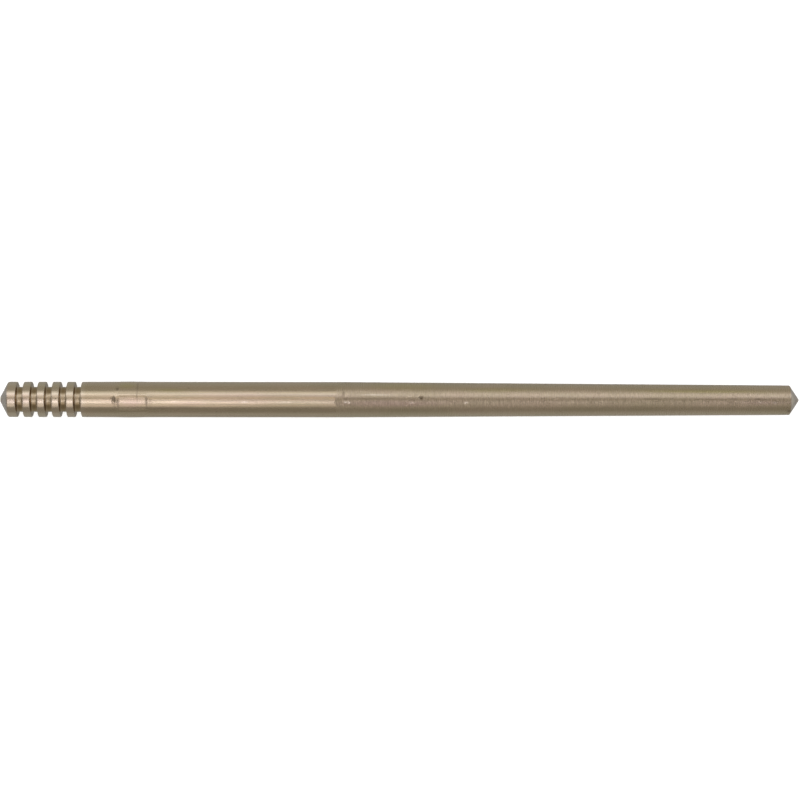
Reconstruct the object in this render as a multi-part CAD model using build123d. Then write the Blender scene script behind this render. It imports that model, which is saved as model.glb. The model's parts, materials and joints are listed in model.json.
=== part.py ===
from build123d import *
import math
import os

# A carburettor jet needle: one brass rod, turned and ground from a single bar.
# It lies along X, with its head towards -X and its metering tip towards +X.
# The origin is on its axis, at the middle of the third clip groove.
# Lengths are in mm and angles in degrees.
# A name that ends in _at is a distance along the axis from the head end.

total_length = 56.35
shank_diameter = 2.5

head_cone_angle = 122.0
head_flat_diameter = 0.42
head_edge_radius = 0.04

groove_count = 5
groove_pitch = 1.02
first_groove_at = 1.45
groove_width = 0.48
groove_floor_diameter = 1.76
groove_corner_radius = 0.06
land_edge_radius = 0.04
origin_groove = 3

taper_start_at = 24.3
taper_angle = 0.75

tip_cone_angle = 112.0
tip_flat_diameter = 0.10
tip_edge_radius = 0.02

shank_radius = shank_diameter / 2
groove_floor_radius = groove_floor_diameter / 2
origin_at = first_groove_at + (origin_groove - 1) * groove_pitch


def slope(included_angle):
    """Gives how fast the radius grows along a cone of this included angle."""
    return math.tan(math.radians(included_angle / 2))


def cone_base_at():
    """Finds where the head cone reaches the shank's full diameter."""
    return (shank_radius - head_flat_diameter / 2) / slope(head_cone_angle)


def tip_shoulder_at():
    """Finds where the taper meets the tip cone, so that the cone ends at the total length."""
    taper = slope(taper_angle)
    tip = slope(tip_cone_angle)
    radius_at_head_end = shank_radius + taper * taper_start_at
    full_cone_length = (radius_at_head_end - tip_flat_diameter / 2) / tip
    return (total_length - full_cone_length) / (1 - taper / tip)


def tip_shoulder_radius():
    """Gives the radius that the taper has left where the tip cone begins."""
    return shank_radius - slope(taper_angle) * (tip_shoulder_at() - taper_start_at)


def point(distance_from_head, radius):
    """Places a point of the outline, given along the axis and out from it."""
    return (distance_from_head - origin_at, radius)


def groove_outline(index):
    """Goes down one wall of a clip groove, along its floor and up the other wall."""
    centre = first_groove_at + index * groove_pitch
    head_wall = centre - groove_width / 2
    tip_wall = centre + groove_width / 2
    return [
        point(head_wall, shank_radius),
        point(head_wall, groove_floor_radius),
        point(tip_wall, groove_floor_radius),
        point(tip_wall, shank_radius),
    ]


def outline():
    """Follows the turned surface from the head to the tip, then closes along the axis."""
    points = [
        point(0, 0),
        point(0, head_flat_diameter / 2),
        point(cone_base_at(), shank_radius),
    ]
    for index in range(groove_count):
        points += groove_outline(index)
    points += [
        point(taper_start_at, shank_radius),
        point(tip_shoulder_at(), tip_shoulder_radius()),
        point(total_length, tip_flat_diameter / 2),
        point(total_length, 0),
    ]
    return points


def rings(solid, low_at, high_at, radius):
    """Picks the circular edges of one radius that lie between two places on the axis."""
    margin = 0.001
    low = low_at - origin_at - margin
    high = high_at - origin_at + margin
    circles = solid.edges().filter_by(GeomType.CIRCLE)
    near = circles.filter_by_position(Axis.X, low, high)
    return [edge for edge in near if abs(edge.radius - radius) < margin]


def jet_needle():
    """Turns the outline round the axis and breaks its sharp edges."""
    needle = revolve(make_face(Polyline(*outline(), close=True)), Axis.X)
    first_wall_at = first_groove_at - groove_width / 2
    last_wall_at = first_groove_at + (groove_count - 1) * groove_pitch + groove_width / 2
    floor_edges = rings(needle, first_wall_at, last_wall_at, groove_floor_radius)
    needle = fillet(floor_edges, groove_corner_radius)
    land_edges = rings(needle, cone_base_at(), last_wall_at, shank_radius)
    needle = fillet(land_edges, land_edge_radius)
    head_edges = rings(needle, 0, 0, head_flat_diameter / 2)
    needle = fillet(head_edges, head_edge_radius)
    tip_edges = rings(needle, tip_shoulder_at(), total_length, tip_shoulder_radius())
    tip_edges += rings(needle, total_length, total_length, tip_flat_diameter / 2)
    return fillet(tip_edges, tip_edge_radius)


os.makedirs("parts", exist_ok=True)
export_step(jet_needle(), "parts/jet_needle.step")
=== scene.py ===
import json
import math
import random

import bpy
import numpy as np
from mathutils import Euler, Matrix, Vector


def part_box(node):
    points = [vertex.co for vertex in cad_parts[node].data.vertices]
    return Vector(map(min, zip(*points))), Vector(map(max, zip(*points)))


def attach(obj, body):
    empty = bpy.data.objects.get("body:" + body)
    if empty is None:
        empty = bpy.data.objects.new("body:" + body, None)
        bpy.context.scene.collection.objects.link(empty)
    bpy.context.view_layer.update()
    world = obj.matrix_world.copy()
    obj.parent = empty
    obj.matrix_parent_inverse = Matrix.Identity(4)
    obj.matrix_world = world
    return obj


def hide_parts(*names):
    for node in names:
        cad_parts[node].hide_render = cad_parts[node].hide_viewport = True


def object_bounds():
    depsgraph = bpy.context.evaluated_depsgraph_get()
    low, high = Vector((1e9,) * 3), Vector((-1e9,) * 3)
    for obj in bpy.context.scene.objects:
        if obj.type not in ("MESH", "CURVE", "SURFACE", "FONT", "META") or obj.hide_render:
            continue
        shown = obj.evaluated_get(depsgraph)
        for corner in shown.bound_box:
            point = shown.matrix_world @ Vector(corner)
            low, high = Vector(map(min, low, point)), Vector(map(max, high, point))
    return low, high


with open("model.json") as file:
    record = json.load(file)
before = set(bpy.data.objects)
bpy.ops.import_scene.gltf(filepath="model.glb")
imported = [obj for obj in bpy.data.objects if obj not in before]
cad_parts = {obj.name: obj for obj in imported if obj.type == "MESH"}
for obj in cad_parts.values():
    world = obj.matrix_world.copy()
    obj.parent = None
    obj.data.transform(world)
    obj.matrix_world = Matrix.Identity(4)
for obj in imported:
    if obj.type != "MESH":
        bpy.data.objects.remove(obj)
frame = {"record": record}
cad_low, cad_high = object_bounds()

# A carburettor jet needle, turned and ground from one brass bar, lying on a pale floor.
# Scene units are metres. The needle's own sizes below are in mm and become metres through MM.
# A place is a distance in mm along the axis from the head end.
# A turn is an angle in degrees round the axis from the top (+Z), positive towards +Y.

MM = 0.001
NODE = "jet_needle"
MOUNTS = {mount["name"]: mount for mount in frame["record"]["mounts"]}

# Sizes that the frame gives.
HEAD_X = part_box(NODE)[0].x / MM
TIP_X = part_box(NODE)[1].x / MM
NEEDLE_LENGTH = TIP_X - HEAD_X
SHANK_RADIUS = MOUNTS["guide_shank"]["dims"]["r_mm"]
GROOVES = sorted(name for name in MOUNTS if name.startswith("clip_groove"))
GROOVE_PLACES = [MOUNTS[name]["pos_m"][0] / MM - HEAD_X for name in GROOVES]
GROOVE_WIDTH = MOUNTS[GROOVES[0]]["dims"]["length_mm"]
GROOVE_FLOOR_RADIUS = MOUNTS[GROOVES[0]]["dims"]["r_mm"]
TAPER_START = MOUNTS["metering_taper"]["pos_m"][0] / MM - HEAD_X

# The turned outline.
HEAD_CONE_ANGLE = 122.0
HEAD_FLAT_RADIUS = 0.21
HEAD_NOSE_ROUNDING = 0.12
HEAD_BASE_ROUNDING = 0.13
GROOVE_CORNER_ROUNDING = 0.11
LAND_EDGE_ROUNDING = 0.05
TAPER_START_ROUNDING = 4.0
TAPER_ANGLE = 0.75
TIP_CONE_ANGLE = 112.0
TIP_FLAT_RADIUS = 0.05
TIP_ROUNDING = 0.06
TIP_SHOULDER_ROUNDING = 0.05

# The most of a straight run that the rounding of one of its corners may take.
ROUNDING_LIMIT = 0.48

# The smallest rings, where the end faces close on the axis.
POLE_RING_RADIUS = 0.03
LAST_RING_RADIUS = 0.02

# The marks stay on the plain length between the last groove and the tip cone.
MARKS_FROM = (6.0, 6.4)
MARKS_TO = (55.0, 55.3)

# The mesh's fineness: gaps between rings in mm, by stretch. The last gap of a run is at least
# SHORTEST_GAP of the usual one. A fine stretch is from, to and gap.
SEGMENTS = 144
FRONT_DENSITY = 0.4
ARC_STEPS = 5
CONE_GAP = 0.035
GROOVES_GAP = 0.09
PLAIN_GAP = 0.35
CONE_STRETCH = 1.2
GROOVES_STRETCH = 6.0
TIP_STRETCH = 1.0
SHORTEST_GAP = 0.3
FINE_STRETCHES = (
    (7.4, 10.6, 0.032),
    (19.5, 20.9, 0.07),
    (23.3, 30.1, 0.07),
    (32.4, 33.0, 0.06),
    (38.6, 39.7, 0.08),
    (44.3, 44.9, 0.06),
    (52.6, 55.4, 0.10),
)

# The waver of turned edges: how sharp an edge must be to have it, its depth, how many waves go
# round, and its seed, which changes every so many mm. Edges are worn pale, and hollow corners
# get painted shade, a dark colour where shade falls.
SHARP_EDGE = 0.2
EDGE_WAVER = 0.006
EDGE_WAVES = 11
EDGE_SEED = 40
EDGE_SEED_STEP = 0.08
EDGE_WEAR = 0.15
# Strength of the painted shade in the hollow corners.
CORNER_SHADE = 0.04


def smooth_step(low, high, value):
    """Rises smoothly from 0 at low to 1 at high."""
    share = np.clip((value - low) / (high - low), 0.0, 1.0)
    return share * share * (3 - 2 * share)


def bell(value, width):
    """A smooth bump, 1 at nought and about a third at width."""
    return np.exp(-((value / width) ** 2))


def slope(included_angle):
    """How fast the radius grows along a cone of this included angle."""
    return math.tan(math.radians(included_angle / 2))


# ---------------------------------------------------------------- outline of the turned surface


def cone_base():
    """Place where the head cone reaches the shank's diameter."""
    return (SHANK_RADIUS - HEAD_FLAT_RADIUS) / slope(HEAD_CONE_ANGLE)


def tip_shoulder():
    """Place and radius where the taper meets the tip cone."""
    taper = slope(TAPER_ANGLE)
    tip = slope(TIP_CONE_ANGLE)
    full_length = (SHANK_RADIUS + taper * TAPER_START - TIP_FLAT_RADIUS) / tip
    place = (NEEDLE_LENGTH - full_length) / (1 - taper / tip)
    return place, SHANK_RADIUS - taper * (place - TAPER_START)


def outline_corners():
    """The outline's corners from head to tip: place, radius and rounding."""
    corners = [
        (0.0, 0.0, 0.0),
        (0.0, HEAD_FLAT_RADIUS, HEAD_NOSE_ROUNDING),
        (cone_base(), SHANK_RADIUS, HEAD_BASE_ROUNDING),
    ]
    for place in GROOVE_PLACES:
        head_wall = place - GROOVE_WIDTH / 2
        tip_wall = place + GROOVE_WIDTH / 2
        corners += [
            (head_wall, SHANK_RADIUS, LAND_EDGE_ROUNDING),
            (head_wall, GROOVE_FLOOR_RADIUS, GROOVE_CORNER_ROUNDING),
            (tip_wall, GROOVE_FLOOR_RADIUS, GROOVE_CORNER_ROUNDING),
            (tip_wall, SHANK_RADIUS, LAND_EDGE_ROUNDING),
        ]
    shoulder_place, shoulder_radius = tip_shoulder()
    corners += [
        (TAPER_START, SHANK_RADIUS, TAPER_START_ROUNDING),
        (shoulder_place, shoulder_radius, TIP_SHOULDER_ROUNDING),
        (NEEDLE_LENGTH, TIP_FLAT_RADIUS, TIP_ROUNDING),
        (NEEDLE_LENGTH, 0.0, 0.0),
    ]
    return corners


def corner_arc(before, corner, after, rounding):
    """Points of the arc that rounds one corner, and which way the outline turns there."""
    incoming = (corner - before).normalized()
    outgoing = (after - corner).normalized()
    turn = incoming.angle_signed(outgoing)
    reach = rounding * math.tan(abs(turn) / 2)
    longest = ROUNDING_LIMIT * min((corner - before).length, (after - corner).length)
    reach = min(reach, longest)
    start = corner - incoming * reach
    end = corner + outgoing * reach
    points = []
    for step in range(ARC_STEPS + 1):
        share = step / ARC_STEPS
        first = start.lerp(corner, share)
        second = corner.lerp(end, share)
        points.append(first.lerp(second, share))
    return points, turn


def spacing(place):
    """How far apart the rings may be at this place."""
    if place < CONE_STRETCH:
        return CONE_GAP
    if place < GROOVES_STRETCH:
        return GROOVES_GAP
    for low, high, gap in FINE_STRETCHES:
        if low <= place <= high:
            return gap
    if place > NEEDLE_LENGTH - TIP_STRETCH:
        return CONE_GAP
    return PLAIN_GAP


def ring_outline():
    """Every ring of the mesh: place, radius, and how convex (+1) or hollow (-1) the outline is."""
    corners = outline_corners()
    points = [Vector((place, radius)) for place, radius, _ in corners]
    rings = []

    def run_to(end):
        """Adds rings along the straight run from the last ring to end."""
        start = Vector(rings[-1][:2])
        length = (end - start).length
        travelled = 0.0
        while True:
            here = start.lerp(end, travelled / length) if length else start
            travelled += spacing(here.x)
            if travelled >= length - SHORTEST_GAP * spacing(here.x):
                return
            there = start.lerp(end, travelled / length)
            rings.append((there.x, there.y, 0.0))

    rings.append((0.0, POLE_RING_RADIUS, 0.0))
    for index in range(1, len(corners) - 1):
        before, corner, after = points[index - 1 : index + 2]
        arc, turn = corner_arc(before, corner, after, corners[index][2])
        run_to(arc[0])
        sharpness = -turn / math.radians(90)
        for spot in arc:
            rings.append((spot.x, spot.y, sharpness))
    run_to(Vector((NEEDLE_LENGTH, POLE_RING_RADIUS)))
    rings.append((NEEDLE_LENGTH, LAST_RING_RADIUS, 0.0))
    return np.array(rings)


# ---------------------------------------------------------------- marks on the surface

# A blank pressed pad and two strokes stand where the real needle has its stamped size code.
PAD_PLACE = 9.42
PAD_TURN = -14.0
PAD_LENGTH = 1.9
PAD_WIDTH = 0.86
PAD_CORNER = 0.12
PAD_DEPTH = 0.014
PAD_WALL = 0.14
PAD_LIP = 0.010
LIP_OUTSIDE = 1.3 * PAD_WALL
LIP_WIDTH = 0.8 * PAD_WALL

# The shank swells a little where it was pressed.
SWELLING_PLACE = 9.2
SWELLING = 0.018
SWELLING_REACH = 1.0

# Part-circumference witness lines left by the turning and grinding.
WITNESS_LINES = (
    {"place": 9.76, "from_turn": 10.0, "to_turn": 95.0, "depth": 0.006},
    {"place": 24.22, "from_turn": -4.0, "to_turn": 66.0, "depth": 0.006},
)
WITNESS_WIDTH = 0.035
WITNESS_FADE = 12.0

# A dent's rim: how high it stands, as a share of the dent's depth, and where and how wide it
# is, as shares of the dent's reach. Its length runs along the axis before it is slanted.
RIM_SHARE = 0.3
RIM_PLACE = 1.7
RIM_WIDTH = 0.5

# The two strokes.
STROKES = (
    {"place": 8.13, "turn": 0.0, "length": 0.08, "width": 0.16, "depth": 0.025, "slant": 12},
    {"place": 8.36, "turn": 37.0, "length": 0.08, "width": 0.10, "depth": 0.015, "slant": -8},
)

# Single pits and scratches on the taper.
PITS = (
    {"place": 29.68, "turn": 6.0, "length": 0.12, "width": 0.10, "depth": 0.05, "slant": 30},
    {"place": 32.7, "turn": -12.0, "length": 0.07, "width": 0.06, "depth": 0.018},
    {"place": 39.1, "turn": 4.0, "length": 0.20, "width": 0.05, "depth": 0.010, "slant": 20},
    {"place": 44.6, "turn": -3.0, "length": 0.09, "width": 0.06, "depth": 0.012},
)

# Patches of small random dents, scattered by spread along the axis and turn_spread round it.
CLUSTERS = (
    {"seed": 6, "place": 20.2, "turn": -8, "spread": 0.35, "turn_spread": 2,
     "count": 8, "size": 0.05, "depth": 0.005},
    {"seed": 3, "place": 24.75, "turn": -6, "spread": 0.35, "turn_spread": 7,
     "count": 9, "size": 0.07, "depth": 0.012},
    {"seed": 4, "place": 26.2, "turn": -2, "spread": 0.8, "turn_spread": 9,
     "count": 8, "size": 0.06, "depth": 0.010},
    {"seed": 5, "place": 29.1, "turn": -6, "spread": 0.45, "turn_spread": 9,
     "count": 10, "size": 0.07, "depth": 0.014},
)

# Patches of colour, each soft edged: length along the axis and width round it in mm.
# Dark patches, painted shade: in the strokes, the pit and the witness lines, along the underside
# next to the floor, and short streaks along the dark band between the two highlights.
SHADE_PATCHES = (
    {"place": 8.12, "turn": 1, "length": 0.12, "width": 0.18, "share": 0.60},
    {"place": 8.36, "turn": 36, "length": 0.12, "width": 0.15, "share": 0.70},
    {"place": 9.76, "turn": 40, "length": 0.08, "width": 0.80, "share": 0.26},
    {"place": 11.9, "turn": -28, "length": 2.2, "width": 0.12, "share": 0.22},
    {"place": 14.5, "turn": -74, "length": 9.0, "width": 0.26, "share": 0.13},
    {"place": 23.70, "turn": -8, "length": 0.06, "width": 0.35, "share": 0.10},
    {"place": 24.22, "turn": 20, "length": 0.08, "width": 0.32, "share": 0.45},
    {"place": 24.4, "turn": 3, "length": 0.20, "width": 0.06, "share": 0.50},
    {"place": 26.3, "turn": 4, "length": 1.30, "width": 0.07, "share": 0.22},
    {"place": 28.9, "turn": 1, "length": 0.40, "width": 0.06, "share": 0.30},
    {"place": 29.70, "turn": 4, "length": 0.15, "width": 0.13, "share": 1.0},
    {"place": 46.0, "turn": 4, "length": 0.60, "width": 0.07, "share": 0.30},
    {"place": 50.2, "turn": 2, "length": 1.40, "width": 0.06, "share": 0.22},
    {"place": 51.5, "turn": 4, "length": 0.22, "width": 0.07, "share": 0.45},
    {"place": 53.35, "turn": 4, "length": 0.30, "width": 0.07, "share": 0.55},
    {"place": 53.8, "turn": 1, "length": 0.14, "width": 0.07, "share": 0.45},
    {"place": 55.55, "turn": -48, "length": 0.13, "width": 0.20, "share": 0.55},
)
# Pale spots along the two highlight bands and on the tip: painted glints, on a burnished, shinier
# finish where they lie on the taper.
BURNISHED_GLINT_SPOTS = (
    {"place": 12.4, "turn": -7, "length": 0.14, "width": 0.06, "share": 0.25},
    {"place": 17.3, "turn": -8, "length": 0.25, "width": 0.07, "share": 0.40},
    {"place": 20.2, "turn": -8, "length": 0.60, "width": 0.05, "share": 0.30},
    {"place": 24.40, "turn": -8, "length": 0.11, "width": 0.07, "share": 0.75},
    {"place": 24.64, "turn": -9, "length": 0.07, "width": 0.08, "share": 0.70},
    {"place": 26.5, "turn": 16, "length": 1.10, "width": 0.035, "share": 0.45},
    {"place": 29.0, "turn": -10, "length": 0.22, "width": 0.05, "share": 0.35},
    {"place": 32.8, "turn": -10, "length": 0.16, "width": 0.06, "share": 0.70},
    {"place": 53.5, "turn": -8, "length": 0.10, "width": 0.07, "share": 0.50},
    {"place": 54.5, "turn": -10, "length": 0.10, "width": 0.08, "share": 0.60},
    {"place": 55.79, "turn": 0, "length": 0.12, "width": 0.60, "share": 1.0},
)
OLIVE_PATCHES = (
    {"place": 3.5, "turn": 50, "length": 2.6, "width": 0.30, "share": 0.35},
    {"place": 9.0, "turn": 54, "length": 0.60, "width": 0.35, "share": 0.80},
    {"place": 12.0, "turn": 33, "length": 1.20, "width": 0.15, "share": 0.60},
    {"place": 28.4, "turn": 52, "length": 2.20, "width": 0.40, "share": 0.60},
    {"place": 35.0, "turn": 36, "length": 2.50, "width": 0.20, "share": 0.50},
    {"place": 49.5, "turn": 35, "length": 4.50, "width": 0.18, "share": 0.85},
)
PINK_PATCHES = (
    {"place": 1.6, "turn": -2, "length": 1.30, "width": 0.45, "share": 0.60},
    {"place": 9.42, "turn": -13, "length": 0.85, "width": 0.34, "share": 0.70},
    {"place": 13.5, "turn": -14, "length": 1.20, "width": 0.15, "share": 0.50},
    {"place": 17.6, "turn": 2, "length": 2.60, "width": 0.45, "share": 0.45},
    {"place": 27.5, "turn": -12, "length": 3.60, "width": 0.25, "share": 0.70},
    {"place": 53.6, "turn": -8, "length": 1.80, "width": 0.30, "share": 0.55},
)


def arc_distance(turns, centre):
    """Distance in mm round the shank from a turn, positive towards +Y."""
    offset = (turns - centre + 180.0) % 360.0 - 180.0
    return np.radians(offset) * SHANK_RADIUS


def pressed_pad(places, turns):
    """A shallow blank recess with round corners and a slightly raised lip."""
    along = np.abs(places - PAD_PLACE) - (PAD_LENGTH / 2 - PAD_CORNER)
    across = np.abs(arc_distance(turns, PAD_TURN)) - (PAD_WIDTH / 2 - PAD_CORNER)
    outer = np.hypot(np.maximum(along, 0), np.maximum(across, 0))
    outside = outer + np.minimum(np.maximum(along, across), 0) - PAD_CORNER
    recess = 1 - smooth_step(-PAD_WALL, PAD_WALL, outside)
    lip = bell(outside - LIP_OUTSIDE, LIP_WIDTH)
    return PAD_LIP * lip - PAD_DEPTH * recess


def dent(places, turns, place, turn, length, width, depth, slant=0.0):
    """A dent with a raised rim."""
    along = places - place
    across = arc_distance(turns, turn)
    lean = math.radians(slant)
    run = along * math.cos(lean) + across * math.sin(lean)
    side = across * math.cos(lean) - along * math.sin(lean)
    reach = np.hypot(run / length, side / width)
    return RIM_SHARE * depth * bell(reach - RIM_PLACE, RIM_WIDTH) - depth * bell(reach, 1.0)


def witness_line(places, turns, place, from_turn, to_turn, depth):
    """A fine line round part of the shank, fading at its ends."""
    inside = smooth_step(from_turn - WITNESS_FADE, from_turn, turns)
    inside = inside * (1 - smooth_step(to_turn, to_turn + WITNESS_FADE, turns))
    return -depth * inside * bell(places - place, WITNESS_WIDTH)


def cluster(places, turns, seed, place, turn, spread, turn_spread, count, size, depth):
    """A patch of small random dents."""
    chance = random.Random(seed)
    total = np.zeros_like(places)
    for _ in range(count):
        total += dent(
            places,
            turns,
            place + chance.gauss(0, spread),
            turn + chance.gauss(0, turn_spread),
            size * chance.uniform(0.6, 1.5),
            size * chance.uniform(0.5, 1.1),
            depth * chance.uniform(0.4, 1.2),
            chance.uniform(-60, 60),
        )
    return total


def surface_marks(places, turns):
    """All the marks on the shank and taper, as height above the turned surface in mm."""
    height = pressed_pad(places, turns)
    for stroke in STROKES:
        height += dent(places, turns, **stroke)
    height += SWELLING * bell(places - SWELLING_PLACE, SWELLING_REACH)
    for line in WITNESS_LINES:
        height += witness_line(places, turns, **line)
    for patch in CLUSTERS:
        height += cluster(places, turns, **patch)
    for pit in PITS:
        height += dent(places, turns, **pit)
    return height


def patches(places, turns, spots):
    """How strongly any of these soft-edged patches shows at each place, from 0 to 1."""
    total = np.zeros_like(places)
    for spot in spots:
        along = (places - spot["place"]) / spot["length"]
        across = arc_distance(turns, spot["turn"]) / spot["width"]
        total = np.maximum(total, spot["share"] * np.exp(-((along**2 + across**2) ** 1.5)))
    return total


def wavering(turns, seed, waves):
    """A smooth random waver round the axis, about -1 to 1, that closes on itself."""
    chance = random.Random(seed)
    total = np.zeros_like(turns)
    for wave in range(1, waves + 1):
        phase = chance.uniform(0, 2 * math.pi)
        total += chance.uniform(0.5, 1.0) * np.sin(np.radians(turns) * wave + phase)
    return total / math.sqrt(waves)


# ---------------------------------------------------------------- the needle's mesh


def segment_turns():
    """Turns of the mesh's segments, closer together on the top side, where the marks are."""
    even = np.arange(SEGMENTS) * 2 * math.pi / SEGMENTS
    turns = np.degrees(even - FRONT_DENSITY * np.sin(even))
    return (turns + 180.0) % 360.0 - 180.0


def outline_normals(rings):
    """Outward normals of the outline at each ring."""
    run = np.gradient(rings[:, 0])
    rise = np.gradient(rings[:, 1])
    length = np.maximum(np.hypot(run, rise), 1e-9)
    return -rise / length, run / length


def softened(values, passes):
    """Averages each ring's value with its neighbours, a few times."""
    for _ in range(passes):
        padded = np.pad(values, 1, mode="edge")
        values = (padded[:-2] + 2 * padded[1:-1] + padded[2:]) / 4
    return values


def needle_surface():
    """Vertex positions in mm on a grid of rings by segments, and the colour shares there."""
    rings = ring_outline()
    turns = segment_turns()
    place = np.repeat(rings[:, 0:1], SEGMENTS, axis=1)
    radius = np.repeat(rings[:, 1:2], SEGMENTS, axis=1)
    turn = np.repeat(turns[None, :], len(rings), axis=0)
    normal_place, normal_radius = outline_normals(rings)

    on_shank = smooth_step(*MARKS_FROM, rings[:, 0])
    on_shank = on_shank * (1 - smooth_step(*MARKS_TO, rings[:, 0]))
    height = surface_marks(place, turn) * on_shank[:, None]

    convex = np.clip(rings[:, 2], 0, 1)
    hollow = np.clip(-rings[:, 2], 0, 1)
    for index, ring in enumerate(rings):
        if ring[2] > SHARP_EDGE:
            seed = EDGE_SEED + int(ring[0] / EDGE_SEED_STEP)
            height[index] += EDGE_WAVER * ring[2] * wavering(turns, seed, EDGE_WAVES)

    place = place + height * normal_place[:, None]
    radius = radius + height * normal_radius[:, None]
    angle = np.radians(turn)
    positions = np.stack([place + HEAD_X, radius * np.sin(angle), radius * np.cos(angle)], axis=-1)

    edge = softened(convex, 1)[:, None] * np.ones(SEGMENTS)
    # How hollow each ring is, which sets the painted shade in the corners.
    corner = softened(hollow, 2)[:, None] * np.ones(SEGMENTS)
    shares = {
        # Pale: wear on the sharp edges, and painted glints on the spots.
        "pale": np.maximum(EDGE_WEAR * edge, patches(place, turn, BURNISHED_GLINT_SPOTS)),
        # Painted shade: darker in the hollow corners and in the dark patches.
        "painted_shade": np.maximum(CORNER_SHADE * corner, patches(place, turn, SHADE_PATCHES)),
        "olive": patches(place, turn, OLIVE_PATCHES),
        "pink": patches(place, turn, PINK_PATCHES),
    }
    return positions, shares


def needle_faces(ring_count):
    """Quads between the rings and a fan at each end."""
    faces = []
    for ring in range(ring_count - 1):
        for segment in range(SEGMENTS):
            following = (segment + 1) % SEGMENTS
            a = ring * SEGMENTS + segment
            b = ring * SEGMENTS + following
            c = b + SEGMENTS
            d = a + SEGMENTS
            faces.append((a, b, c, d))
    head_pole = ring_count * SEGMENTS
    tip_pole = head_pole + 1
    last = (ring_count - 1) * SEGMENTS
    for segment in range(SEGMENTS):
        following = (segment + 1) % SEGMENTS
        faces.append((head_pole, following, segment))
        faces.append((tip_pole, last + segment, last + following))
    return faces


def add_attribute(mesh, name, values):
    """Stores one number per vertex for the material to read."""
    layer = mesh.attributes.new(name, "FLOAT", "POINT")
    layer.data.foreach_set("value", np.asarray(values, dtype=np.float32))


def make_needle():
    """Builds the needle as one closed mesh."""
    positions, shares = needle_surface()
    ring_count = len(positions)
    vertices = positions.reshape(-1, 3)
    poles = np.array([[HEAD_X, 0, 0], [HEAD_X + NEEDLE_LENGTH, 0, 0]])
    vertices = np.concatenate([vertices, poles]) * MM
    mesh = bpy.data.meshes.new("needle_turned")
    mesh.from_pydata(vertices.tolist(), [], needle_faces(ring_count))
    mesh.polygons.foreach_set("use_smooth", [True] * len(mesh.polygons))
    mesh.update()
    for name, share in shares.items():
        add_attribute(mesh, name, np.append(share.ravel(), [0, 0]))
    needle = bpy.data.objects.new("needle_turned", mesh)
    bpy.context.scene.collection.objects.link(needle)
    return needle


# ---------------------------------------------------------------- materials


class Nodes:
    """Short ways to add and join the nodes of one material or world."""

    def __init__(self, tree):
        self.tree = tree
        tree.nodes.clear()

    def add(self, kind, **settings):
        """Adds a node of this kind and sets its properties."""
        node = self.tree.nodes.new(kind)
        for name, value in settings.items():
            setattr(node, name, value)
        return node

    def link(self, source, target):
        """Joins an output to an input."""
        self.tree.links.new(source, target)

    def feed(self, socket, value):
        """Links a socket to the value if it is a socket, and else sets it."""
        if isinstance(value, bpy.types.NodeSocket):
            self.link(value, socket)
        else:
            socket.default_value = value

    def math(self, operation, first, second=0.0, clamp=False):
        """Works out one number from one or two others."""
        node = self.add("ShaderNodeMath", operation=operation, use_clamp=clamp)
        for socket, value in zip(node.inputs, (first, second)):
            self.feed(socket, value)
        return node.outputs[0]

    def mix(self, share, first, second):
        """Blends two numbers."""
        node = self.add("ShaderNodeMix", data_type="FLOAT")
        self.feed(node.inputs[0], share)
        self.feed(node.inputs[2], first)
        self.feed(node.inputs[3], second)
        return node.outputs[0]

    def blend(self, share, first, second, mode="MIX"):
        """Blends two colours."""
        node = self.add("ShaderNodeMix", data_type="RGBA", blend_type=mode)
        self.feed(node.inputs[0], share)
        self.feed(node.inputs[6], first)
        self.feed(node.inputs[7], second)
        return node.outputs[2]

    def ramp(self, value, low, high, start=0.0, end=1.0):
        """Carries a value from the range low to high onto start to end, clamped."""
        node = self.add("ShaderNodeMapRange", clamp=True)
        for socket, number in zip(node.inputs, (value, low, high, start, end)):
            self.feed(socket, number)
        return node.outputs[0]

    def stretched(self, source, scale, offset=(0.0, 0.0, 0.0)):
        """Coordinates scaled by a different amount along each axis."""
        node = self.add("ShaderNodeMapping")
        node.inputs["Scale"].default_value = scale
        node.inputs["Location"].default_value = offset
        self.link(source, node.inputs["Vector"])
        return node.outputs[0]

    def noise(self, source, detail=3.0, roughness=0.55):
        """Smooth random numbers about 0.5, with one cycle per unit of the source."""
        node = self.add("ShaderNodeTexNoise")
        node.inputs["Scale"].default_value = 1.0
        node.inputs["Detail"].default_value = detail
        node.inputs["Roughness"].default_value = roughness
        self.link(source, node.inputs["Vector"])
        return node.outputs["Fac"]

    def attribute(self, name):
        """Reads a number that the mesh stores per vertex."""
        return self.add("ShaderNodeAttribute", attribute_name=name).outputs["Fac"]


# Colours of the metal and of what lies on it, and of the painted light and shade.
BRASS = (0.70, 0.56, 0.39, 1)
BRASS_OLIVE = (0.55, 0.47, 0.29, 1)
BRASS_PINK = (0.70, 0.52, 0.38, 1)
BRASS_DEEP_OLIVE = (0.66, 0.56, 0.29, 1)
BRASS_ROSE = (0.67, 0.49, 0.385, 1)
# Pale brass: wear on lands and edges, painted light on the groove walls, and painted glints.
BRASS_WORN_AND_LIT = (0.98, 0.86, 0.70, 1)
BRASS_TARNISHED = (0.54, 0.42, 0.265, 1)
# Painted shade on the groove flanks.
BRASS_PAINTED_SHADE = (0.41, 0.285, 0.14, 1)
BRASS_CUT = (0.98, 0.88, 0.77, 1)
BRASS_CUT_DARK = (0.50, 0.41, 0.33, 1)
# Near black, for dirt specks and for the painted shade.
GRIME_AND_SHADE = (0.10, 0.065, 0.03, 1)

# How rough each kind of surface is.
SHANK_ROUGHNESS = 0.24
TAPER_ROUGHNESS = 0.26
GROOVE_ROUGHNESS = 0.29
CONE_ROUGHNESS = 0.30
SPOT_ROUGHNESS = 0.20
SHADE_PATCH_ROUGHNESS = 0.25

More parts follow.
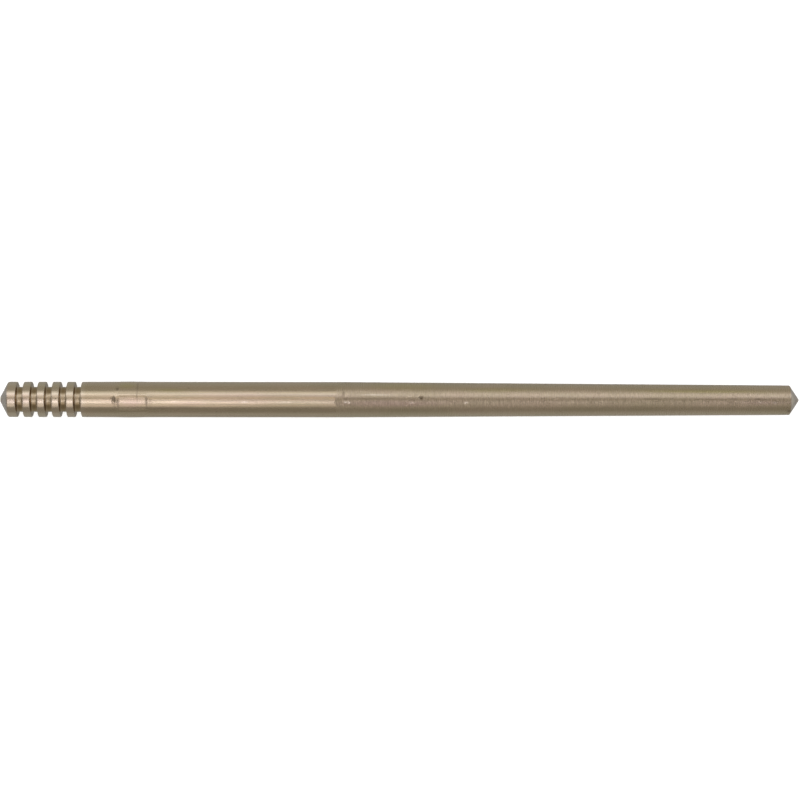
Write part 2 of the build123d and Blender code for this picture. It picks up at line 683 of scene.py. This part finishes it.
# How high the surface texture stands, in mm, and how much each kind adds to it.
STREAK_HEIGHT = 0.0014
RING_HEIGHT = 0.0095
FINE_STREAK_SHARE = 0.3
BROAD_RING_SHARE = 0.05
CUT_MARK_SHARE = 3.0
CUT_RING_SHARE = 0.55

# Where each kind of surface lies, in mm. A pair runs from nothing to the full share.
GROUND_START = 23.68
GROUND_FADE = 0.08
GROUND_WANDER = 0.9
HEAD_CONE = (0.64, 0.56)
TIP_CONE = (55.62, 55.70)
FIRST_GROOVE = (0.9, 1.1)
LAST_GROOVE = (6.3, 6.1)
LAST_LAND = (6.2, 5.8)
GROOVE_FLOOR = (GROOVE_FLOOR_RADIUS + 0.10, GROOVE_FLOOR_RADIUS + 0.02)
GROOVE_WALL = (SHANK_RADIUS - 0.02, SHANK_RADIUS - 0.08)
# Across the needle, in mm, where the groove flanks get painted shade.
BACK_FLANK = (0.34, 0.55)
FRONT_FLANK = (-0.14, -0.38)
LAND_WEAR = 0.25


def surface_textures(n, mm):
    """The noises that the material draws on, from coordinates in mm."""
    return {
        "axial_streaks": n.noise(n.stretched(mm, (0.10, 7, 7)), detail=4, roughness=0.65),
        "fine_streaks": n.noise(n.stretched(mm, (0.5, 26, 26)), detail=3, roughness=0.6),
        "rings": n.noise(n.stretched(mm, (250, 0.5, 0.5)), detail=2, roughness=0.6),
        "broad_rings": n.noise(n.stretched(mm, (3.0, 0.3, 0.3)), detail=3, roughness=0.6),
        "blotches": n.noise(n.stretched(mm, (0.35, 1.1, 1.1)), detail=4, roughness=0.6),
        "tints": n.noise(n.stretched(mm, (0.22, 0.9, 0.9), (7, 3, 1)), detail=2),
        "specks": n.noise(n.stretched(mm, (4.5, 7, 7)), detail=2, roughness=0.7),
        "cut_grain": n.noise(n.stretched(mm, (7, 7, 7)), detail=3, roughness=0.6),
    }


def off_axis_distance(n, split):
    """How far a point is from the needle's axis, in mm."""
    square = n.math("POWER", split.outputs["Y"], 2.0)
    square = n.math("ADD", square, n.math("POWER", split.outputs["Z"], 2.0))
    return n.math("SQRT", square)


def turning_marks(n, cut_grain, off_axis):
    """Marks of the turning tool on the cones: rings round the axis, broken up by grain."""
    outward = n.add("ShaderNodeCombineXYZ")
    n.link(off_axis, outward.inputs["X"])
    rings = n.noise(n.stretched(outward.outputs[0], (14, 1, 1)), detail=3, roughness=0.7)
    return n.mix(CUT_RING_SHARE, cut_grain, rings)


def surface_masks(n, split, place, off_axis, blotches):
    """Where each kind of surface lies, as shares from 0 to 1."""
    across = split.outputs["Y"]
    wander = n.math("MULTIPLY", n.math("SUBTRACT", blotches, 0.5), GROUND_WANDER)
    wandering = n.math("ADD", place, wander)
    ground = n.ramp(wandering, GROUND_START - GROUND_FADE, GROUND_START + GROUND_FADE)
    turned = n.math("MAXIMUM", n.ramp(place, *HEAD_CONE), n.ramp(place, *TIP_CONE))

    below_land = n.ramp(off_axis, *GROOVE_WALL)
    # The groove flanks on either side, which get painted shade.
    beside = n.math("MAXIMUM", n.ramp(across, *BACK_FLANK), n.ramp(across, *FRONT_FLANK))
    before_shank = n.ramp(place, *LAST_GROOVE)
    dull = n.math("MAXIMUM", n.ramp(off_axis, *GROOVE_FLOOR), n.math("MULTIPLY", below_land, beside))
    dull = n.math("MULTIPLY", dull, before_shank)
    land = n.math("SUBTRACT", 1.0, below_land)
    return {
        "ground": ground,
        "turned": turned,
        "beside": beside,
        "in_groove": n.math("MULTIPLY", below_land, before_shank),
        "tarnish_and_shade": n.math("MULTIPLY", dull, n.ramp(place, *FIRST_GROOVE)),
        "land": n.math("MULTIPLY", land, n.ramp(place, *LAST_LAND)),
        # The painted shade stored on the mesh.
        "painted_shade": n.attribute("painted_shade"),
        "pale": n.attribute("pale"),
        "olive": n.attribute("olive"),
        "pink": n.attribute("pink"),
    }


def needle_colour(n, textures, masks, cut_marks):
    """Brass, tinted and shaded in streaks, with tarnished groove floors, wear, dirt specks, painted
    light and painted shade over it.
    """
    tints = textures["tints"]
    specks = textures["specks"]
    axial_streaks = textures["axial_streaks"]
    colour = n.blend(n.ramp(tints, 0.45, 0.7, 0, 0.4), BRASS, BRASS_OLIVE)
    colour = n.blend(n.ramp(tints, 0.5, 0.3, 0, 0.35), colour, BRASS_PINK)

    streak_shade = n.ramp(axial_streaks, 0.3, 0.7, 0.96, 1.02)
    ring_shade = n.ramp(textures["broad_rings"], 0.3, 0.7, 0.98, 1.02)
    shade = n.mix(masks["ground"], streak_shade, ring_shade)
    shade_colour = n.add("ShaderNodeCombineColor")
    for socket in shade_colour.inputs:
        n.link(shade, socket)
    colour = n.blend(1.0, colour, shade_colour.outputs[0], "MULTIPLY")

    broken = n.ramp(axial_streaks, 0.30, 0.55, 0.4, 1.0)
    colour = n.blend(n.math("MULTIPLY", masks["olive"], broken), colour, BRASS_DEEP_OLIVE)
    colour = n.blend(n.math("MULTIPLY", masks["pink"], broken), colour, BRASS_ROSE)
    colour = n.blend(n.math("MULTIPLY", masks["land"], LAND_WEAR), colour, BRASS_WORN_AND_LIT)
    # Painted light: everything in the grooves is made pale, so that the walls don't read dark.
    colour = n.blend(masks["in_groove"], colour, BRASS_WORN_AND_LIT)
    # Tarnished groove floors, with painted shade on their flanks.
    tarnish_and_shade = n.blend(masks["beside"], BRASS_TARNISHED, BRASS_PAINTED_SHADE)
    colour = n.blend(masks["tarnish_and_shade"], colour, tarnish_and_shade)
    cut = n.blend(n.ramp(cut_marks, 0.38, 0.62), BRASS_CUT_DARK, BRASS_CUT)
    colour = n.blend(masks["turned"], colour, cut)

    colour = n.blend(n.ramp(specks, 0.68, 0.76, 0, 0.45), colour, GRIME_AND_SHADE)
    # Pale edge wear and painted glints.
    colour = n.blend(masks["pale"], colour, BRASS_WORN_AND_LIT)
    # Painted shade from the hollow corners and the dark patches, broken up by the specks.
    painted_shade_share = n.math("MULTIPLY", masks["painted_shade"], n.ramp(specks, 0.3, 0.6, 0.5, 0.95))
    return n.blend(painted_shade_share, colour, GRIME_AND_SHADE)


def needle_roughness(n, textures, masks, burnished):
    """Satin on the shank, duller elsewhere, and shinier where the taper is burnished."""
    fine_streaks = textures["fine_streaks"]
    shank = n.ramp(fine_streaks, 0.3, 0.7, SHANK_ROUGHNESS - 0.04, SHANK_ROUGHNESS + 0.06)
    taper = n.ramp(textures["rings"], 0.3, 0.7, TAPER_ROUGHNESS - 0.05, TAPER_ROUGHNESS + 0.07)
    rough = n.mix(masks["ground"], shank, taper)
    rough = n.mix(burnished, rough, SPOT_ROUGHNESS)
    rough = n.mix(masks["in_groove"], rough, GROOVE_ROUGHNESS)
    rough = n.mix(masks["turned"], rough, CONE_ROUGHNESS)
    # A little rougher where the painted shade lies.
    painted_shade_rough = n.math("MULTIPLY", masks["painted_shade"], SHADE_PATCH_ROUGHNESS)
    return n.math("ADD", rough, painted_shade_rough, clamp=True)


def needle_relief(n, textures, masks, burnished, cut_marks):
    """Drawn streaks along the shank, and cross lay on the taper and the cones."""
    fine = n.math("MULTIPLY", textures["fine_streaks"], FINE_STREAK_SHARE)
    broad = n.math("MULTIPLY", textures["broad_rings"], BROAD_RING_SHARE)
    cut = n.math("MULTIPLY", n.math("MULTIPLY", cut_marks, masks["turned"]), CUT_MARK_SHARE)
    cross_height = n.math("ADD", n.math("ADD", textures["rings"], broad), cut)
    crossed = n.math("MAXIMUM", n.math("SUBTRACT", masks["ground"], burnished), masks["turned"])

    streaks = n.add("ShaderNodeBump")
    streaks.inputs["Distance"].default_value = STREAK_HEIGHT * MM
    n.link(n.math("SUBTRACT", 1.0, masks["ground"]), streaks.inputs["Strength"])
    n.link(n.math("ADD", textures["axial_streaks"], fine), streaks.inputs["Height"])
    cross_lay = n.add("ShaderNodeBump")
    cross_lay.inputs["Distance"].default_value = RING_HEIGHT * MM
    n.link(crossed, cross_lay.inputs["Strength"])
    n.link(cross_height, cross_lay.inputs["Height"])
    n.link(streaks.outputs[0], cross_lay.inputs["Normal"])
    return cross_lay.outputs[0]


def needle_material():
    """Drawn brass on the shank, ground brass on the taper, turned brass at the ends."""
    material = bpy.data.materials.new("needle_brass")
    material.use_nodes = True
    n = Nodes(material.node_tree)
    metres = n.add("ShaderNodeTexCoord").outputs["Object"]
    mm = n.stretched(metres, (1 / MM, 1 / MM, 1 / MM))
    split = n.add("ShaderNodeSeparateXYZ")
    n.link(mm, split.inputs[0])
    place = n.math("SUBTRACT", split.outputs["X"], HEAD_X)
    off_axis = off_axis_distance(n, split)

    textures = surface_textures(n, mm)
    masks = surface_masks(n, split, place, off_axis, textures["blotches"])
    cut_marks = turning_marks(n, textures["cut_grain"], off_axis)
    burnished = n.math("MULTIPLY", masks["pale"], masks["ground"])

    shader = n.add("ShaderNodeBsdfPrincipled")
    shader.inputs["Metallic"].default_value = 1.0
    colour = needle_colour(n, textures, masks, cut_marks)
    n.link(colour, shader.inputs["Base Color"])
    n.link(needle_roughness(n, textures, masks, burnished), shader.inputs["Roughness"])
    relief = needle_relief(n, textures, masks, burnished, cut_marks)
    n.link(relief, shader.inputs["Normal"])
    output = n.add("ShaderNodeOutputMaterial")
    n.link(shader.outputs[0], output.inputs["Surface"])
    return material


def floor_material():
    """Plain pale floor, lifted a little so that it reads near white."""
    material = bpy.data.materials.new("floor_pale")
    material.use_nodes = True
    n = Nodes(material.node_tree)
    shader = n.add("ShaderNodeBsdfPrincipled")
    shader.inputs["Base Color"].default_value = (0.9, 0.9, 0.89, 1)
    shader.inputs["Roughness"].default_value = 0.9
    shader.inputs["Specular IOR Level"].default_value = 0.1
    shader.inputs["Emission Color"].default_value = (1, 1, 0.99, 1)
    shader.inputs["Emission Strength"].default_value = 0.6
    output = n.add("ShaderNodeOutputMaterial")
    n.link(shader.outputs[0], output.inputs["Surface"])
    return material


# ---------------------------------------------------------------- floor, lights and camera

CENTRE = (cad_low + cad_high) / 2

# The camera: distances in metres, its roll in degrees and its shift off the centre in mm.
CAMERA_DISTANCE = 0.1645
SENSOR_WIDTH = 36.0
FRAME_WIDTH = 0.0565
CAMERA_ROLL = 0.065
CAMERA_SHIFT = (0.025, -0.0155)
CLIP_START = 0.01
CLIP_END = 10.0

# The floor: flat out to its radius and then curving up to its rim, in metres.
FLOOR_RADIUS = 0.9
FLOOR_RIM_HEIGHT = 0.9
FLOOR_FLAT_RINGS = (0.1, 0.3, FLOOR_RADIUS)
FLOOR_RIM_STEPS = 12
FLOOR_SIDES = 64

# The surround's colours. It darkens over the needle from one height of the sky to the other.
SURROUND_FRONT = (0.250, 0.243, 0.228, 1)
SURROUND_BACK = (0.345, 0.336, 0.315, 1)
SURROUND_SIDE = 0.95
CEILING = (0.205, 0.198, 0.186, 1)
CEILING_HEIGHT = (0.76, 0.86)
BELOW = (0.368, 0.382, 0.382, 1)
BELOW_HEIGHT = (0.06, -0.30)


def make_floor():
    """A round pale floor that curves up at its rim. It lies along the taper's underside."""
    tilt = math.radians(TAPER_ANGLE / 2)
    touch = Vector((TAPER_START + HEAD_X, 0, -SHANK_RADIUS)) * MM
    rings = [(reach, 0.0) for reach in FLOOR_FLAT_RINGS]
    for step in range(1, FLOOR_RIM_STEPS + 1):
        angle = math.radians(90 * step / FLOOR_RIM_STEPS)
        reach = FLOOR_RADIUS + FLOOR_RIM_HEIGHT * math.sin(angle)
        rings.append((reach, FLOOR_RIM_HEIGHT * (1 - math.cos(angle))))
    vertices = [(0.0, 0.0, 0.0)]
    for reach, height in rings:
        for step in range(FLOOR_SIDES):
            angle = 2 * math.pi * step / FLOOR_SIDES
            vertices.append((reach * math.cos(angle), reach * math.sin(angle), height))
    faces = [(0, 1 + step, 1 + (step + 1) % FLOOR_SIDES) for step in range(FLOOR_SIDES)]
    for ring in range(len(rings) - 1):
        first = 1 + ring * FLOOR_SIDES
        second = first + FLOOR_SIDES
        for step in range(FLOOR_SIDES):
            following = (step + 1) % FLOOR_SIDES
            faces.append((first + step, second + step, second + following, first + following))
    mesh = bpy.data.meshes.new("floor")
    mesh.from_pydata(vertices, [], faces)
    mesh.polygons.foreach_set("use_smooth", [True] * len(mesh.polygons))
    floor = bpy.data.objects.new("floor", mesh)
    floor.location = touch
    floor.rotation_euler = Euler((0, -tilt, 0))
    floor.data.materials.append(floor_material())
    floor.visible_glossy = False
    bpy.context.scene.collection.objects.link(floor)


def make_world():
    """A plain grey surround, brighter towards +Y and below the horizon, darker overhead."""
    world = bpy.data.worlds.new("studio")
    world.use_nodes = True
    n = Nodes(world.node_tree)
    direction = n.add("ShaderNodeTexCoord").outputs["Generated"]
    split = n.add("ShaderNodeSeparateXYZ")
    n.link(direction, split.inputs[0])
    side = n.ramp(split.outputs["Y"], -SURROUND_SIDE, SURROUND_SIDE)
    colour = n.blend(side, SURROUND_FRONT, SURROUND_BACK)
    ceiling = n.ramp(split.outputs["Z"], *CEILING_HEIGHT)
    colour = n.blend(ceiling, colour, CEILING)
    below = n.ramp(split.outputs["Z"], *BELOW_HEIGHT)
    colour = n.blend(below, colour, BELOW)
    background = n.add("ShaderNodeBackground")
    n.link(colour, background.inputs["Color"])
    output = n.add("ShaderNodeOutputWorld")
    n.link(background.outputs[0], output.inputs["Surface"])
    bpy.context.scene.world = world


def soft_light(name, tilt, spread, radiance, along, distance, length):
    """A rectangular panel aimed at the needle, tilted from +Z towards +Y.

    Along is where its middle lies on X and length is its size on X, in metres.
    Its spread is the angle it fills across the needle.
    """
    width = 2 * distance * math.tan(math.radians(spread / 2))
    data = bpy.data.lights.new(name, "AREA")
    data.shape = "RECTANGLE"
    data.size = length
    data.size_y = width
    data.energy = math.pi * length * width
    data.color = radiance
    light = bpy.data.objects.new(name, data)
    reach = math.sqrt(distance**2 - along**2)
    offset = Vector(
        (
            along,
            reach * math.sin(math.radians(tilt)),
            reach * math.cos(math.radians(tilt)),
        )
    )
    light.location = CENTRE + offset
    light.rotation_euler = offset.to_track_quat("Z", "Y").to_euler()
    light.visible_camera = False
    bpy.context.scene.collection.objects.link(light)
    return light


# Panels as (name, tilt, spread, radiance). The long ones run the whole needle and the short
# ones stand where only the shank mirrors them, so the taper's cross lay blurs them away.
LONG_PANELS = (
    ("back_low", 48, 12, (0.45, 0.46, 0.475)),
    ("back_middle", 36, 12, (0.82, 0.885, 1.06)),
    ("back_high", 24, 12, (0.22, 0.225, 0.32)),
    ("front_low", -36, 24, (0.067, 0.057, 0.09)),
)
LONG_PANEL_SIZES = {"along": 0.018, "distance": 0.52, "length": 1.2}
SHORT_PANELS = (
    ("shank_back", 18, 36, (0.545, 0.505, 0.445)),
    ("shank_middle", -6, 12, (1.05, 1.015, 1.13)),
    ("shank_core", -18, 12, (1.66, 1.70, 1.955)),
    ("shank_front", -36, 24, (0.60, 0.585, 0.545)),
)
SHORT_PANEL_SIZES = {"along": -0.0695, "distance": 0.44, "length": 0.113}
FLOOR_LAMP_SIZES = {"along": 0, "distance": 0.60, "length": 0.35}
FLOOR_LAMP_SPREAD = 32.5
FLOOR_LAMP_RADIANCE = (2.2, 2.2, 2.2)


def make_lights():
    """The two banks of panels, and a lamp that only lights the floor."""
    for name, tilt, spread, radiance in LONG_PANELS:
        soft_light(name, tilt, spread, radiance, **LONG_PANEL_SIZES)
    for name, tilt, spread, radiance in SHORT_PANELS:
        soft_light(name, tilt, spread, radiance, **SHORT_PANEL_SIZES)
    overhead = soft_light(
        "floor_lamp", 0, FLOOR_LAMP_SPREAD, FLOOR_LAMP_RADIANCE, **FLOOR_LAMP_SIZES
    )
    overhead.visible_glossy = False


def make_camera():
    """Looks straight down at the needle, which fills the frame's width."""
    data = bpy.data.cameras.new("camera")
    data.sensor_width = SENSOR_WIDTH
    data.lens = CAMERA_DISTANCE * SENSOR_WIDTH / FRAME_WIDTH
    data.clip_start = CLIP_START
    data.clip_end = CLIP_END
    camera = bpy.data.objects.new("camera", data)
    right, up = CAMERA_SHIFT
    camera.location = CENTRE + Vector((right * MM, up * MM, CAMERA_DISTANCE))
    camera.rotation_euler = Euler((0, 0, math.radians(CAMERA_ROLL)))
    bpy.context.scene.collection.objects.link(camera)
    bpy.context.scene.camera = camera


make_camera()
make_floor()
make_world()
make_lights()

needle = make_needle()
needle.data.materials.append(needle_material())
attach(needle, "root")
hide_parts(NODE)

bpy.context.scene.view_settings.view_transform = "Standard"
bpy.context.scene.view_settings.look = "None"
